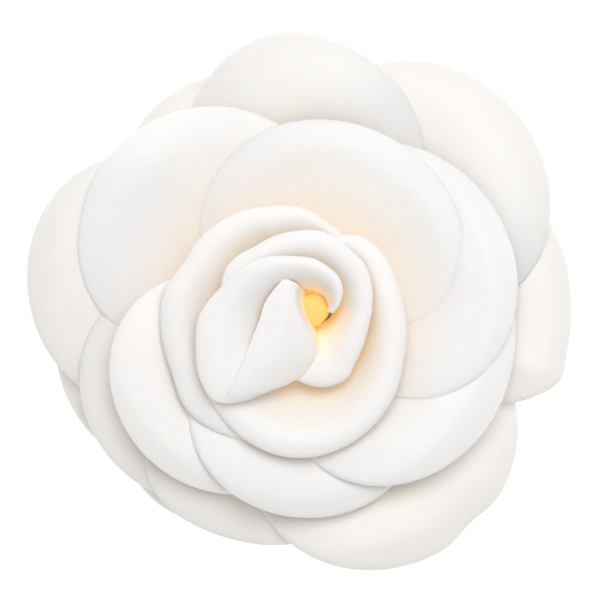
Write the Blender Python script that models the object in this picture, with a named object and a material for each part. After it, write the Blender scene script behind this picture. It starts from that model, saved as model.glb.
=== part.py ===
# Flower hair clip: 21 heat-formed satin petals on a felt-backed base, glued to the
# upper arm of a sprung alligator clip. Metres, +Z up. The flower faces +Z, its axis
# is the Z axis, and the clip's thumb tab stands on z = 0. The clip lies along X.
import math

import bmesh
import bpy
from mathutils import Matrix, Vector

MM = 0.001
GAP = 0.3 * MM                  # space between pieces that touch or are glued together

# Clip: two stamped steel arms, a rivet pin and a torsion spring.
SHEET = 0.6 * MM                # steel sheet of both arms
ARM_WIDTH = 8.4 * MM            # over the upper arm's side walls
JAW_LENGTH = 35.0 * MM          # pin to jaw tip
TAIL_LENGTH = 18.0 * MM         # pin to the end of the upper arm's tail
TAB_LENGTH = 10.0 * MM          # flat thumb tab at the end of the lower arm
TAB_REACH = 22.0 * MM           # pin to the end of the thumb tab
PIN_X = -8.0 * MM               # pin, measured from the flower's axis
PIN_RADIUS = 0.7 * MM
PIN_PLAY = 0.15 * MM            # radial play of the pin in both arms
PIN_HEAD_RADIUS = 1.3 * MM
PIN_HEAD_LENGTH = 0.5 * MM
PIN_HEIGHT = 5.4 * MM           # pin axis above the thumb tab's underside
PIN_TO_UPPER_ARM = 4.0 * MM     # pin axis to the underside of the upper arm's plate
EAR_RADIUS = 2.2 * MM           # round ears that hold the pin
HEEL_DROP = 3.0 * MM            # pin axis down to the lower arm's underside at the pin
UPPER_WALL = 1.6 * MM           # side wall of the upper jaw, below its plate
TOOTH_PITCH = 2.0 * MM
TOOTH_DEPTH = 0.7 * MM
TOOTH_COUNT = 5
BITE_THICKNESS = 2.8 * MM       # outside of the lower jaw's plate to its tooth tips
WIRE_RADIUS = 0.3 * MM
COIL_RADIUS = 1.6 * MM          # to the middle of the wire
COIL_TURNS = 3
SPRING_LEG = 10.0 * MM
LINER_THICKNESS = 0.8 * MM      # felt strip glued inside the upper jaw
LINER_LENGTH = 22.0 * MM

# Backing: felt, stiffened base cloth, hot glue, the hub that the petals are glued
# round and the core that the bud is rolled on.
FELT_RADIUS = 18.0 * MM
FELT_THICKNESS = 1.2 * MM
BASE_RADIUS = 15.0 * MM
BASE_THICKNESS = 1.0 * MM
GLUE_RADIUS = 12.0 * MM
GLUE_THICKNESS = 1.3 * MM
HUB_HEIGHT = 7.0 * MM
CORE_RADIUS = 1.0 * MM
CORE_LENGTH = 9.0 * MM

# Petals: satin, 0.6 mm thick with its stiffening, stacked from the back to the bud.
PETAL_THICKNESS = 0.6 * MM
PETAL_GAP = 0.5 * MM            # air between two petals at their roots
BUD_HOLLOW = 1.7 * MM           # radius inside the rolled bud's third petal at its foot
BUD_CLEARANCE = 0.9 * MM        # air round the bud's foot besides the cloth itself
BUD_FOOT = 1.0 * MM             # foot of the bud's core to the bud's lowest cloth
OUTER_REACH = 50.0 * MM         # the rings' reach from the axis to a petal's furthest rim
BACK_REACH = 0.94 * OUTER_REACH
SHOULDER_REACH = 45.0 * MM
MIDDLE_REACH = 38.0 * MM
INNER_REACH = 27.7 * MM
BUD_REACH = 13.3 * MM
OUTER_RISE = 10.0 * MM          # the outer ring's crest above its petals' roots
SHOULDER_RISE = 3.4 * MM        # how far each ring's crest stands above the one outside it
MIDDLE_RISE = 5.0 * MM
INNER_RISE = 4.2 * MM
BUD_RISE = 2.4 * MM
BACK_DROP = 7.4 * MM            # how far the back petals' crest stays below the outer ring's
LIP = 1.0 * MM                  # how far a rolled rim drops below its crest
BUD_LIP = 0.3 * MM

# Heights, from the table up.
upper_arm_z = PIN_HEIGHT + PIN_TO_UPPER_ARM
felt_z = upper_arm_z + SHEET + GAP
base_z = felt_z + FELT_THICKNESS + GAP
glue_z = base_z + BASE_THICKNESS + GAP
hub_z = glue_z + GLUE_THICKNESS + GAP
core_z = hub_z + HUB_HEIGHT + GAP
layer = PETAL_THICKNESS + PETAL_GAP
bud_layer = PETAL_THICKNESS + 1.6 * PETAL_GAP
upright_layer = 1.5 * layer     # the inner rings' petals rise steeply, so they need more
bud_root_radius = BUD_HOLLOW + 2 * bud_layer
root_radius = bud_root_radius + BUD_CLEARANCE + 2 * layer   # hollow that the bud stands in


def ring(reach, floor, crest, flare, root_twist=0.0, rim_twist=0.0, lip=LIP, rows=6,
         step=layer, root_radius=root_radius, root_step=0.0):
    """One ring of petals. Flare 0 is a bowl, 0.5 a cone and 1 a trumpet. Twist is the
    height that a petal gains per radian clockwise, so that it shingles over the next.
    Step is the height from one layer to the next, root step is how much further in the
    next one starts, and rows are the facets from root to rim."""
    return {"reach": reach, "floor": floor, "crest": crest, "flare": flare, "lip": lip,
            "root_twist": root_twist, "rim_twist": rim_twist, "rows": rows,
            "step": step, "root_radius": root_radius, "root_step": root_step}


back_floor = hub_z + layer / 2
outer_floor = back_floor + 4.4 * layer
shoulder_floor = outer_floor + 3.0 * layer
middle_floor = shoulder_floor + 3.6 * layer
inner_floor = middle_floor + 2.8 * layer
outer_crest = outer_floor + OUTER_RISE
back_crest = outer_crest - BACK_DROP
shoulder_crest = outer_crest + SHOULDER_RISE
middle_crest = shoulder_crest + MIDDLE_RISE
inner_crest = middle_crest + INNER_RISE
bud_crest = inner_crest + BUD_RISE

BACK = ring(BACK_REACH, back_floor, back_crest, 0.5)
OUTER = ring(OUTER_REACH, outer_floor, outer_crest, 0.5, 2.0 * MM, 3.5 * MM)
SHOULDER = ring(SHOULDER_REACH, shoulder_floor, shoulder_crest, 0.5)
MIDDLE = ring(MIDDLE_REACH, middle_floor, middle_crest, 0.4, 1.5 * MM, 3.0 * MM)
INNER = ring(INNER_REACH, inner_floor, inner_crest, 0.75, step=upright_layer)
BUD = ring(BUD_REACH, core_z + BUD_FOOT, bud_crest, 1.0, lip=BUD_LIP, rows=12,
           step=upright_layer, root_radius=bud_root_radius, root_step=bud_layer)

# Each petal: ring, layer in its ring, the bearing and reach of its tip, and on its
# clockwise and its anticlockwise side one more point of the rim (bearing, reach) with
# the roundness of that side: 1 runs straight in, 2 is an ellipse, 4 nearly a square.
# Bearings are degrees anticlockwise from +X, reaches are shares of the ring's reach.
PETALS = {
    "back_petal_upper_left": (BACK, 0, (118, 1.00), (100, 0.93, 2), (138, 0.92, 2.5)),
    "back_petal_left": (BACK, 0, (200, 1.01), (180, 0.90, 3), (216, 0.97, 2)),
    "back_petal_lower_left": (BACK, 1, (236, 0.98), (225, 0.95, 2), (250, 0.93, 2)),
    "outer_petal_left": (OUTER, 0, (168, 1.03), (142, 0.89, 2), (201, 0.87, 2)),
    "outer_petal_lower_left": (OUTER, 0, (218, 0.91), (185, 0.77, 2), (242, 0.84, 2)),
    "outer_petal_bottom": (OUTER, 0, (250, 0.91), (224, 0.80, 3), (272, 0.88, 3)),
    "outer_petal_lower_right": (OUTER, 0, (302, 1.06), (260, 0.78, 2), (336, 0.88, 2)),
    "outer_petal_right": (OUTER, 0, (358, 1.01), (332, 0.81, 3), (384, 0.95, 3)),
    "outer_petal_upper_right": (OUTER, 0, (404, 1.08), (364, 0.80, 2), (434, 0.93, 2)),
    "outer_petal_top": (OUTER, 0, (455, 1.00), (408, 0.75, 2), (481, 0.81, 2)),
    "shoulder_petal": (SHOULDER, 0, (145, 1.00), (99, 0.78, 2), (188, 0.75, 2)),
    "middle_petal_lower_left": (MIDDLE, 0, (225, 1.04), (169, 0.63, 2), (249, 0.98, 2)),
    "middle_petal_bottom": (MIDDLE, 0, (278, 1.03), (224, 0.74, 2), (297, 0.98, 2)),
    "middle_petal_lower_right": (MIDDLE, 0, (332, 1.08), (277, 0.78, 2), (358, 1.04, 2)),
    "middle_petal_right": (MIDDLE, 0, (374, 1.06), (320, 0.71, 2), (425, 0.87, 2)),
    "middle_petal_top": (MIDDLE, 0, (435, 0.90), (358, 0.68, 2), (497, 0.70, 2)),
    "inner_petal_left": (INNER, 0, (222, 1.00), (62, 0.52, 1), (247, 0.96, 2)),
    "inner_petal_right": (INNER, 1, (270, 1.00), (229, 0.85, 2), (422, 0.52, 1)),
    "bud_petal_outer": (BUD, 0, (40, 1.00), (-110, 0.90, 8), (180, 0.90, 8)),
    "bud_petal_middle": (BUD, 1, (231, 1.68), (-5, 0.35, 0.75), (245, 1.20, 2)),
    "bud_leaf_inner": (BUD, 2, (237, 1.50), (172, 0.48, 0.75), (290, 0.67, 0.75)),
}
SIDE_SHARE = 0.45               # a petal's straight sides start at this share of its tip
CREST_SHARE = 0.94              # a ring's bowl is full height at this share of its reach
PETAL_COLUMNS = 12              # facets across a petal, at the least
COLUMN_TURN = 13                # and no facet turns more degrees than this

satin_colour = (0.93, 0.91, 0.87)
felt_colour = (0.90, 0.89, 0.86)
steel_colour = (0.72, 0.72, 0.71)
glue_colour = (0.85, 0.80, 0.66)


def material(name, colour, roughness, metallic=0.0):
    made = bpy.data.materials.new(name)
    made.use_nodes = True
    shader = made.node_tree.nodes["Principled BSDF"]
    shader.inputs["Base Color"].default_value = (*colour, 1.0)
    shader.inputs["Roughness"].default_value = roughness
    shader.inputs["Metallic"].default_value = metallic
    return made


def add_piece(name, bm, piece_material, origin=(0, 0, 0), smooth=True):
    """Make an object of the bmesh, whose points are counted from the origin."""
    bmesh.ops.recalc_face_normals(bm, faces=bm.faces)
    mesh = bpy.data.meshes.new(name)
    bm.to_mesh(mesh)
    bm.free()
    if smooth:
        mesh.shade_smooth()
        mesh.set_sharp_from_angle(angle=math.radians(35))
    mesh.materials.append(piece_material)
    piece = bpy.data.objects.new(name, mesh)
    piece.location = origin
    bpy.context.scene.collection.objects.link(piece)
    return piece


def round_piece(radius, length, edge, sides=32):
    """A disc or rod that stands on its origin, with its edges rounded."""
    bm = bmesh.new()
    stand = Matrix.Translation((0, 0, length / 2))
    bmesh.ops.create_cone(bm, cap_ends=True, segments=sides, radius1=radius,
                          radius2=radius, depth=length, matrix=stand)
    if edge:
        rims = [e for e in bm.edges if abs(e.verts[0].co.z - e.verts[1].co.z) < edge / 10]
        bmesh.ops.bevel(bm, geom=rims, offset=edge, segments=2, profile=0.5,
                        affect="EDGES", material=-1)
    return bm


# ---- petals ----

def side_half_angle(tip, point):
    """Degrees from the tip to where the rim's formula would meet the axis."""
    share = (point[1] / tip[1]) ** point[2]
    return abs(point[0] - tip[0]) / (1 - share) ** (1 / point[2])


def rim_reach(tip, half_angle, roundness, turn):
    """Reach of the rim, as a share of the ring's, at a turn in degrees from the tip."""
    return tip[1] * (1 - (abs(turn) / half_angle) ** roundness) ** (1 / roundness)


def side_turn(tip, half_angle, point):
    """Degrees from the tip at which the rim has come in to the petal's side."""
    side_share = min(SIDE_SHARE, 0.95 * point[1] / tip[1])
    return half_angle * (1 - side_share ** point[2]) ** (1 / point[2])


def petal_point(petal, across, along):
    """Point of a petal's middle surface: across is -1 to 1 clockwise to anticlockwise,
    along is 0 at the root and 1 at the rim."""
    home, level, tip, clockwise, anticlockwise = petal
    point = anticlockwise if across > 0 else clockwise
    half_angle = side_half_angle(tip, point)
    eased = math.sin(across * math.pi / 2)
    turn = eased * side_turn(tip, half_angle, point)
    root_radius = home["root_radius"] - level * home["root_step"]
    rim = home["reach"] * rim_reach(tip, half_angle, point[2], turn)
    radius = root_radius + along * (rim - root_radius)
    crest_radius = CREST_SHARE * home["reach"]
    share = min(1.0, (radius - root_radius) / (crest_radius - root_radius))
    bowl = home["flare"] * (1 - (1 - share) ** 2) + (1 - home["flare"]) * share ** 2
    rise = home["crest"] - home["floor"] + level * home["lip"]
    twist = home["root_twist"] + (home["rim_twist"] - home["root_twist"]) * share
    roll = share * max(0.0, (along - 0.8) / 0.2) ** 2
    height = (home["floor"] + level * home["step"] + bowl * rise
              - twist * math.radians(turn) - home["lip"] * roll)
    bearing = math.radians(tip[0] + turn)
    return Vector((radius * math.cos(bearing), radius * math.sin(bearing), height))


def add_petal(name, petal, satin):
    bm = bmesh.new()
    spread = sum(side_turn(petal[2], side_half_angle(petal[2], side), side)
                 for side in petal[3:])
    columns = max(PETAL_COLUMNS, round(spread / COLUMN_TURN))
    bmesh.ops.create_grid(bm, x_segments=columns, y_segments=petal[0]["rows"], size=1.0)
    for vert in bm.verts:
        vert.co = petal_point(petal, vert.co.x, (vert.co.y + 1) / 2)
    piece = add_piece(name, bm, satin)
    cloth = piece.modifiers.new("cloth thickness", "SOLIDIFY")
    cloth.thickness = PETAL_THICKNESS
    cloth.offset = 0.0
    return piece


# ---- clip ----

def side_outline(points, low_y, high_y):
    """Extrude an outline given as (x, z) points from the pin, between two y values."""
    bm = bmesh.new()
    face = bm.faces.new([bm.verts.new((x, low_y, z)) for x, z in points])
    pulled = bmesh.ops.extrude_face_region(bm, geom=[face])
    moved = [part for part in pulled["geom"] if isinstance(part, bmesh.types.BMVert)]
    bmesh.ops.translate(bm, verts=moved, vec=(0, high_y - low_y, 0))
    bmesh.ops.recalc_face_normals(bm, faces=bm.faces)
    return bm


def hide_tool(piece):
    piece.hide_render = True
    piece.display_type = "WIRE"


def combine(piece, tool, operation):
    step = piece.modifiers.new(operation.lower() + " " + tool.name, "BOOLEAN")
    step.operation = operation
    step.solver = "EXACT"
    step.object = tool
    hide_tool(tool)


def arc(centre, radius, start, end, steps):
    """Points of an arc in the XZ plane, angles in degrees from +X towards +Z."""
    angles = [math.radians(start + (end - start) * i / steps) for i in range(steps + 1)]
    return [(centre[0] + radius * math.cos(a), centre[1] + radius * math.sin(a))
            for a in angles]


def teeth(end_x, root_z, tip_z):
    """Zigzag of teeth that runs back from the jaw's tip towards the pin."""
    points = []
    for i in range(TOOTH_COUNT):
        points.append((end_x - i * TOOTH_PITCH, tip_z))
        points.append((end_x - (i + 0.5) * TOOTH_PITCH, root_z))
    return points


def pin_hole_cutter(name, parent_origin):
    bm = bmesh.new()
    across = Matrix.Rotation(math.pi / 2, 4, "X")
    bmesh.ops.create_cone(bm, cap_ends=True, segments=24, radius1=PIN_RADIUS + PIN_PLAY,
                          radius2=PIN_RADIUS + PIN_PLAY, depth=2 * ARM_WIDTH,
                          matrix=across)
    return add_piece(name, bm, bpy.data.materials["clip_steel"], parent_origin, False)


def add_arm(name, plate, wall, half_width, origin):
    """A stamped arm: a plate's side view as wide as the arm, and a wall on each side."""
    steel = bpy.data.materials["clip_steel"]
    arm = add_piece(name, side_outline(plate, -half_width, half_width), steel, origin, False)
    for label, low_y in (("left", half_width - SHEET), ("right", -half_width)):
        bm = side_outline(wall, low_y, low_y + SHEET)
        combine(arm, add_piece(name + "_wall_" + label, bm, steel, origin, False), "UNION")
    combine(arm, pin_hole_cutter(name + "_pin_hole", origin), "DIFFERENCE")
    return arm


def add_upper_arm(origin):
    under = PIN_TO_UPPER_ARM
    tip_x = JAW_LENGTH
    plate = [(-TAIL_LENGTH, under), (tip_x, under),
             (tip_x, under + SHEET), (-TAIL_LENGTH, under + SHEET)]
    tooth_root = under - UPPER_WALL + TOOTH_DEPTH
    top = under + SHEET / 2
    wall = [(tip_x, top)] + teeth(tip_x, tooth_root, under - UPPER_WALL)
    wall += [(2 * EAR_RADIUS, tooth_root), (EAR_RADIUS, 0)]
    wall += arc((0, 0), EAR_RADIUS, -15, -165, 10)
    wall += [(-EAR_RADIUS, 0), (-1.6 * EAR_RADIUS, top)]
    return add_arm("clip_upper_arm", plate, wall, ARM_WIDTH / 2, origin)


def add_lower_arm(origin):
    half_width = ARM_WIDTH / 2 - SHEET - GAP
    tip = (JAW_LENGTH, PIN_TO_UPPER_ARM - GAP - BITE_THICKNESS)
    heel = (0.0, -HEEL_DROP)
    bend = (-(TAB_REACH - TAB_LENGTH), -PIN_HEIGHT)
    end = (-TAB_REACH, -PIN_HEIGHT)
    under = [tip, heel, bend, end]
    plate = under + [(x, z + SHEET) for x, z in reversed(under)]
    slope = (tip[1] - heel[1]) / JAW_LENGTH

    def plate_middle(x):
        return heel[1] + slope * x + SHEET / 2

    tip_z = PIN_TO_UPPER_ARM - GAP
    wall = [(tip[0], plate_middle(tip[0]))] + teeth(tip[0], tip_z - TOOTH_DEPTH, tip_z)
    last_x = tip[0] - TOOTH_COUNT * TOOTH_PITCH
    wall += [(last_x - TOOTH_PITCH, plate_middle(last_x) + 2 * SHEET),
             (2 * EAR_RADIUS, plate_middle(2 * EAR_RADIUS) + 2 * SHEET)]
    wall += arc((0, 0), EAR_RADIUS, 0, 180, 10)
    wall += [(-EAR_RADIUS, -HEEL_DROP + SHEET / 2), (0, -HEEL_DROP + SHEET / 2)]
    wall.reverse()
    return add_arm("clip_lower_arm", plate, wall, half_width, origin)


def add_pin(origin):
    """A rivet, turned from the profile of its shaft and its two flat heads."""
    shoulder = ARM_WIDTH / 2 + GAP
    end = shoulder + PIN_HEAD_LENGTH
    half = [(PIN_RADIUS, shoulder), (PIN_HEAD_RADIUS, shoulder), (PIN_HEAD_RADIUS, end), (0, end)]
    profile = [(radius, -y) for radius, y in reversed(half)] + half
    bm = bmesh.new()
    points = [bm.verts.new((radius, y, 0)) for radius, y in profile]
    for first, second in zip(points, points[1:]):
        bm.edges.new((first, second))
    bmesh.ops.spin(bm, geom=bm.verts[:] + bm.edges[:], cent=(0, 0, 0), axis=(0, 1, 0),
                   angle=2 * math.pi, steps=24, use_merge=True)
    bmesh.ops.remove_doubles(bm, verts=bm.verts, dist=GAP / 100)
    return add_piece("hinge_pin", bm, bpy.data.materials["clip_steel"], origin)


def tangent_angle(end, turn_side):
    """Angle at which a straight leg to the end point leaves the coil."""
    distance = math.hypot(*end)
    return math.atan2(end[1], end[0]) + turn_side * math.acos(COIL_RADIUS / distance)


def add_spring(origin):
    rise = PIN_TO_UPPER_ARM - GAP - WIRE_RADIUS
    upper_end = (-math.sqrt(SPRING_LEG ** 2 - rise ** 2), rise)
    tail_slope = (PIN_HEIGHT - HEEL_DROP) / (TAB_REACH - TAB_LENGTH)
    lower_x = -0.9 * SPRING_LEG
    lower_end = (lower_x, -HEEL_DROP + tail_slope * lower_x + SHEET + 1.3 * (GAP + WIRE_RADIUS))
    start = tangent_angle(upper_end, -1)
    end = tangent_angle(lower_end, 1) - 2 * math.pi * (COIL_TURNS + 1)
    coil_width = COIL_TURNS * (2 * WIRE_RADIUS + GAP)
    steps = 14 * COIL_TURNS
    points = [(upper_end[0], -coil_width / 2, upper_end[1])]
    for i in range(steps + 1):
        angle = start + (end - start) * i / steps
        points.append((COIL_RADIUS * math.cos(angle), coil_width * (i / steps - 0.5),
                       COIL_RADIUS * math.sin(angle)))
    points.append((lower_end[0], coil_width / 2, lower_end[1]))
    curve = bpy.data.curves.new("torsion_spring", "CURVE")
    curve.dimensions = "3D"
    curve.bevel_depth = WIRE_RADIUS
    curve.bevel_resolution = 2
    curve.use_fill_caps = True
    wire = curve.splines.new("POLY")
    wire.points.add(len(points) - 1)
    for point, place in zip(wire.points, points):
        point.co = (*place, 1.0)
    curve.materials.append(bpy.data.materials["spring_steel"])
    spring = bpy.data.objects.new("torsion_spring", curve)
    spring.location = origin
    bpy.context.scene.collection.objects.link(spring)
    return spring


def add_clip():
    material("clip_steel", steel_colour, 0.35, 1.0)
    material("spring_steel", steel_colour, 0.25, 1.0)
    pin_place = (PIN_X, 0, PIN_HEIGHT)
    add_upper_arm(pin_place)
    add_lower_arm(pin_place)
    add_pin(pin_place)
    add_spring(pin_place)


# ---- backing ----

def add_backing():
    felt = material("white_felt", felt_colour, 0.95)
    add_piece("felt_back", round_piece(FELT_RADIUS, FELT_THICKNESS, 0.3 * MM), felt,
              (0, 0, felt_z))
    buckram = material("buckram", felt_colour, 0.9)
    add_piece("base_disc", round_piece(BASE_RADIUS, BASE_THICKNESS, 0.2 * MM), buckram,
              (0, 0, base_z))
    glue = material("hot_glue", glue_colour, 0.3)
    add_piece("glue_pad", round_piece(GLUE_RADIUS, GLUE_THICKNESS, 0.5 * MM), glue,
              (0, 0, glue_z))
    hub_radius = root_radius - 1.5 * GAP
    add_piece("petal_hub", round_piece(hub_radius, HUB_HEIGHT, 0.5 * MM, 28), buckram,
              (0, 0, hub_z))
    add_piece("bud_core", round_piece(CORE_RADIUS, CORE_LENGTH, 0.6 * MM, 20), buckram,
              (0, 0, core_z))
    bm = bmesh.new()
    bmesh.ops.create_cube(bm, size=1.0)
    inner_width = ARM_WIDTH - 4 * SHEET - 4 * GAP
    bmesh.ops.scale(bm, vec=(LINER_LENGTH, inner_width, LINER_THICKNESS), verts=bm.verts)
    liner_z = upper_arm_z - GAP - LINER_THICKNESS / 2
    liner_x = PIN_X + JAW_LENGTH - LINER_LENGTH / 2 - SHEET
    add_piece("jaw_liner", bm, felt, (liner_x, 0, liner_z), False)


def add_flower():
    satin = material("white_satin", satin_colour, 0.55)
    for name, petal in PETALS.items():
        add_petal(name, petal, satin)


for leftover in list(bpy.data.objects):
    bpy.data.objects.remove(leftover)
add_clip()
add_backing()
add_flower()
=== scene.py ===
# Flower hair clip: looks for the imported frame. Satin petals round a spiral bud, felt and
# buckram backing, hot glue and a nickel-plated clip. Lengths are in mm until a mesh is made.
import math

import bmesh
import bpy
from mathutils import Matrix, Vector


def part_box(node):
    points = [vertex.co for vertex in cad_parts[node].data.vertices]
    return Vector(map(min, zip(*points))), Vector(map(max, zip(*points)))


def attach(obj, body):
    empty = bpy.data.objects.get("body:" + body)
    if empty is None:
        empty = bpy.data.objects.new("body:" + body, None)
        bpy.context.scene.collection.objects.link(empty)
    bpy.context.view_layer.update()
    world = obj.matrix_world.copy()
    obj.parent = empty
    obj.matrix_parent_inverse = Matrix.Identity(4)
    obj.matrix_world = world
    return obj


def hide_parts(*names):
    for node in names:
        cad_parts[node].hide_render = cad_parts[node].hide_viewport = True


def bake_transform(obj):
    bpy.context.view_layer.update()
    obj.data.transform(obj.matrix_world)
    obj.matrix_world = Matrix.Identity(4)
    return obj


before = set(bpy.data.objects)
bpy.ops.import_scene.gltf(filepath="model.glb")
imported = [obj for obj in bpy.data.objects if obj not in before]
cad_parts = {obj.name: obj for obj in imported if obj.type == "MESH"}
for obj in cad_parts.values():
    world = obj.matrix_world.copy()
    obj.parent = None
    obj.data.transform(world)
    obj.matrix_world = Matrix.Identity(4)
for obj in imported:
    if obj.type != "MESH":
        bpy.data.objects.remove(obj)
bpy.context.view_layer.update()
mm = 0.001


# ---- node helpers ----

def addNode(tree, kind, inputs=None, **settings):
    node = tree.nodes.new(kind)
    for name, value in settings.items():
        setattr(node, name, value)
    for key, value in (inputs or {}).items():
        setSocket(tree, node.inputs[key], value)
    return node


def setSocket(tree, socket, value):
    if isinstance(value, bpy.types.NodeSocket):
        tree.links.new(value, socket)
    else:
        socket.default_value = value


def calc(tree, operation, *values, clamp=False):
    node = addNode(tree, "ShaderNodeMath", operation=operation, use_clamp=clamp)
    for socket, value in zip(node.inputs, values):
        setSocket(tree, socket, value)
    return node.outputs[0]


def mixColour(tree, factor, first, second, blend="MIX"):
    node = addNode(tree, "ShaderNodeMix", data_type="RGBA", blend_type=blend)
    for index, value in ((0, factor), (6, first), (7, second)):
        setSocket(tree, node.inputs[index], value)
    return node.outputs[2]


def mapRange(tree, value, low, high, newLow, newHigh):
    node = addNode(tree, "ShaderNodeMapRange", {
        "Value": value, "From Min": low, "From Max": high, "To Min": newLow, "To Max": newHigh})
    return node.outputs["Result"]


def noise(tree, vector, scale, detail=2.0, roughness=0.5):
    node = addNode(tree, "ShaderNodeTexNoise",
                   {"Vector": vector, "Scale": scale, "Detail": detail, "Roughness": roughness})
    return node.outputs["Fac"]


def newGroup(name, inputs, outputs):
    tree = bpy.data.node_groups.new(name, "ShaderNodeTree")
    for label, kind, default in inputs:
        socket = tree.interface.new_socket(label, in_out="INPUT", socket_type=kind)
        if default is not None:
            socket.default_value = default
    for label, kind in outputs:
        tree.interface.new_socket(label, in_out="OUTPUT", socket_type=kind)
    return tree, tree.nodes.new("NodeGroupInput"), tree.nodes.new("NodeGroupOutput")


def placeGroup(tree, group, inputs):
    node = addNode(tree, "ShaderNodeGroup", node_tree=group)
    for key, value in inputs.items():
        setSocket(tree, node.inputs[key], value)
    return node


# ---- shared effects ----

# how often the threads wander per metre, and how slubs are drawn out along them
weaveNoise = {"driftScale": 160.0, "slubStretch": (2400.0, 150.0, 1.0)}


def makeThreadGroup():
    # ribs of warp thread crossed by finer weft, on cloth coordinates in metres
    tree, given, out = newGroup("threads", [
        ("Cloth", "NodeSocketVector", None), ("Rib Pitch", "NodeSocketFloat", 0.0005),
        ("Weft Pitch", "NodeSocketFloat", 0.0003), ("Weft Share", "NodeSocketFloat", 0.3),
        ("Wander", "NodeSocketFloat", 0.0001)],
        [("Height", "NodeSocketFloat"), ("Slub", "NodeSocketFloat")])
    cloth = given.outputs["Cloth"]
    drift = calc(tree, "SUBTRACT", noise(tree, cloth, weaveNoise["driftScale"]), 0.5)
    shift = calc(tree, "MULTIPLY", drift, given.outputs["Wander"])
    parts = addNode(tree, "ShaderNodeSeparateXYZ", {"Vector": cloth})
    waves = []
    for axis, pitch in (("X", "Rib Pitch"), ("Y", "Weft Pitch")):
        place = calc(tree, "ADD", parts.outputs[axis], shift)
        turns = calc(tree, "DIVIDE", place, given.outputs[pitch])
        wave = calc(tree, "SINE", calc(tree, "MULTIPLY", turns, 2 * math.pi))
        waves.append(calc(tree, "MULTIPLY_ADD", wave, 0.5, 0.5))
    share = given.outputs["Weft Share"]
    height = calc(tree, "ADD", calc(tree, "MULTIPLY", waves[0], calc(tree, "SUBTRACT", 1.0, share)),
                  calc(tree, "MULTIPLY", waves[1], share))
    stretched = addNode(tree, "ShaderNodeVectorMath", {0: cloth, 1: weaveNoise["slubStretch"]},
                        operation="MULTIPLY")
    slub = noise(tree, stretched.outputs[0], 1.0)
    tree.links.new(height, out.inputs["Height"])
    tree.links.new(slub, out.inputs["Slub"])
    return tree


fibres = {"warpScale": 700.0, "bend": (0.002, 0.002, 0.002), "clumpScale": 420.0,
          "fibreShare": 0.7, "clumpShare": 0.5}


def makeFuzzGroup():
    # matted short fibres, on object coordinates
    tree, given, out = newGroup("fuzz", [
        ("Place", "NodeSocketVector", None), ("Fibre Scale", "NodeSocketFloat", 2500.0)],
        [("Height", "NodeSocketFloat"), ("Mottle", "NodeSocketFloat")])
    place = given.outputs["Place"]
    warp = addNode(tree, "ShaderNodeTexNoise",
                   {"Vector": place, "Scale": fibres["warpScale"], "Detail": 1.0})
    bent = addNode(tree, "ShaderNodeVectorMath",
                   {0: warp.outputs["Color"], 1: fibres["bend"], 2: place}, operation="MULTIPLY_ADD")
    fibre = noise(tree, bent.outputs[0], given.outputs["Fibre Scale"], 5.0, 0.7)
    clump = noise(tree, place, fibres["clumpScale"], 3.0, 0.6)
    height = calc(tree, "ADD", calc(tree, "MULTIPLY", fibre, fibres["fibreShare"]),
                  calc(tree, "MULTIPLY", clump, fibres["clumpShare"]))
    tree.links.new(height, out.inputs["Height"])
    tree.links.new(clump, out.inputs["Mottle"])
    return tree


metalNoise = {"scratchStretch": (60.0, 6000.0, 6000.0), "smudgeScale": 240.0,
              "smudgeShare": 0.5, "roughnessGain": 0.25}


def makeWearGroup():
    # fine scratches along X, and smudges from handling that dull and darken the metal
    tree, given, out = newGroup("metal wear", [
        ("Place", "NodeSocketVector", None), ("Scratches", "NodeSocketFloat", 0.5)],
        [("Roughness Shift", "NodeSocketFloat"), ("Tone", "NodeSocketFloat"),
         ("Height", "NodeSocketFloat")])
    place = given.outputs["Place"]
    drawn = addNode(tree, "ShaderNodeVectorMath", {0: place, 1: metalNoise["scratchStretch"]},
                    operation="MULTIPLY")
    lines = noise(tree, drawn.outputs[0], 1.0, 2.0)
    fine = mapRange(tree, lines, 0.45, 0.75, 0.0, 1.0)
    smudge = noise(tree, place, metalNoise["smudgeScale"], 3.0)
    rough = calc(tree, "ADD", calc(tree, "MULTIPLY", fine, given.outputs["Scratches"]),
                 calc(tree, "MULTIPLY", smudge, metalNoise["smudgeShare"]))
    tree.links.new(calc(tree, "MULTIPLY", rough, metalNoise["roughnessGain"]),
                   out.inputs["Roughness Shift"])
    tree.links.new(mapRange(tree, smudge, 0.3, 0.7, 0.86, 1.0), out.inputs["Tone"])
    tree.links.new(calc(tree, "MULTIPLY", fine, given.outputs["Scratches"]), out.inputs["Height"])
    return tree


threads = makeThreadGroup()
fuzz = makeFuzzGroup()
metalWear = makeWearGroup()
clothMap = "clothMap"       # UV map of flat cloth coordinates, in metres
paintedRimShade = "paintedRimShade"         # point attribute for painted shade, 1 at the rims of the outermost petals, which turn away from the light
paintedWarmShade = "paintedWarmShade"           # point attribute for the painted warm shade and glow, 0 at an open rim to 1 down in the flower


def newMaterial(name, roughness=0.5, metallic=0.0, **values):
    made = bpy.data.materials.new(name)
    made.use_nodes = True
    shader = made.node_tree.nodes["Principled BSDF"]
    shader.inputs["Roughness"].default_value = roughness
    shader.inputs["Metallic"].default_value = metallic
    for key, value in values.items():
        shader.inputs[key.replace("_", " ")].default_value = value
    return made, made.node_tree, shader


def addBump(tree, shader, height, strength, distance):
    bump = addNode(tree, "ShaderNodeBump",
                   {"Height": height, "Strength": strength, "Distance": distance})
    tree.links.new(bump.outputs["Normal"], shader.inputs["Normal"])


def objectPlace(tree):
    return addNode(tree, "ShaderNodeTexCoord").outputs["Object"]
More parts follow.
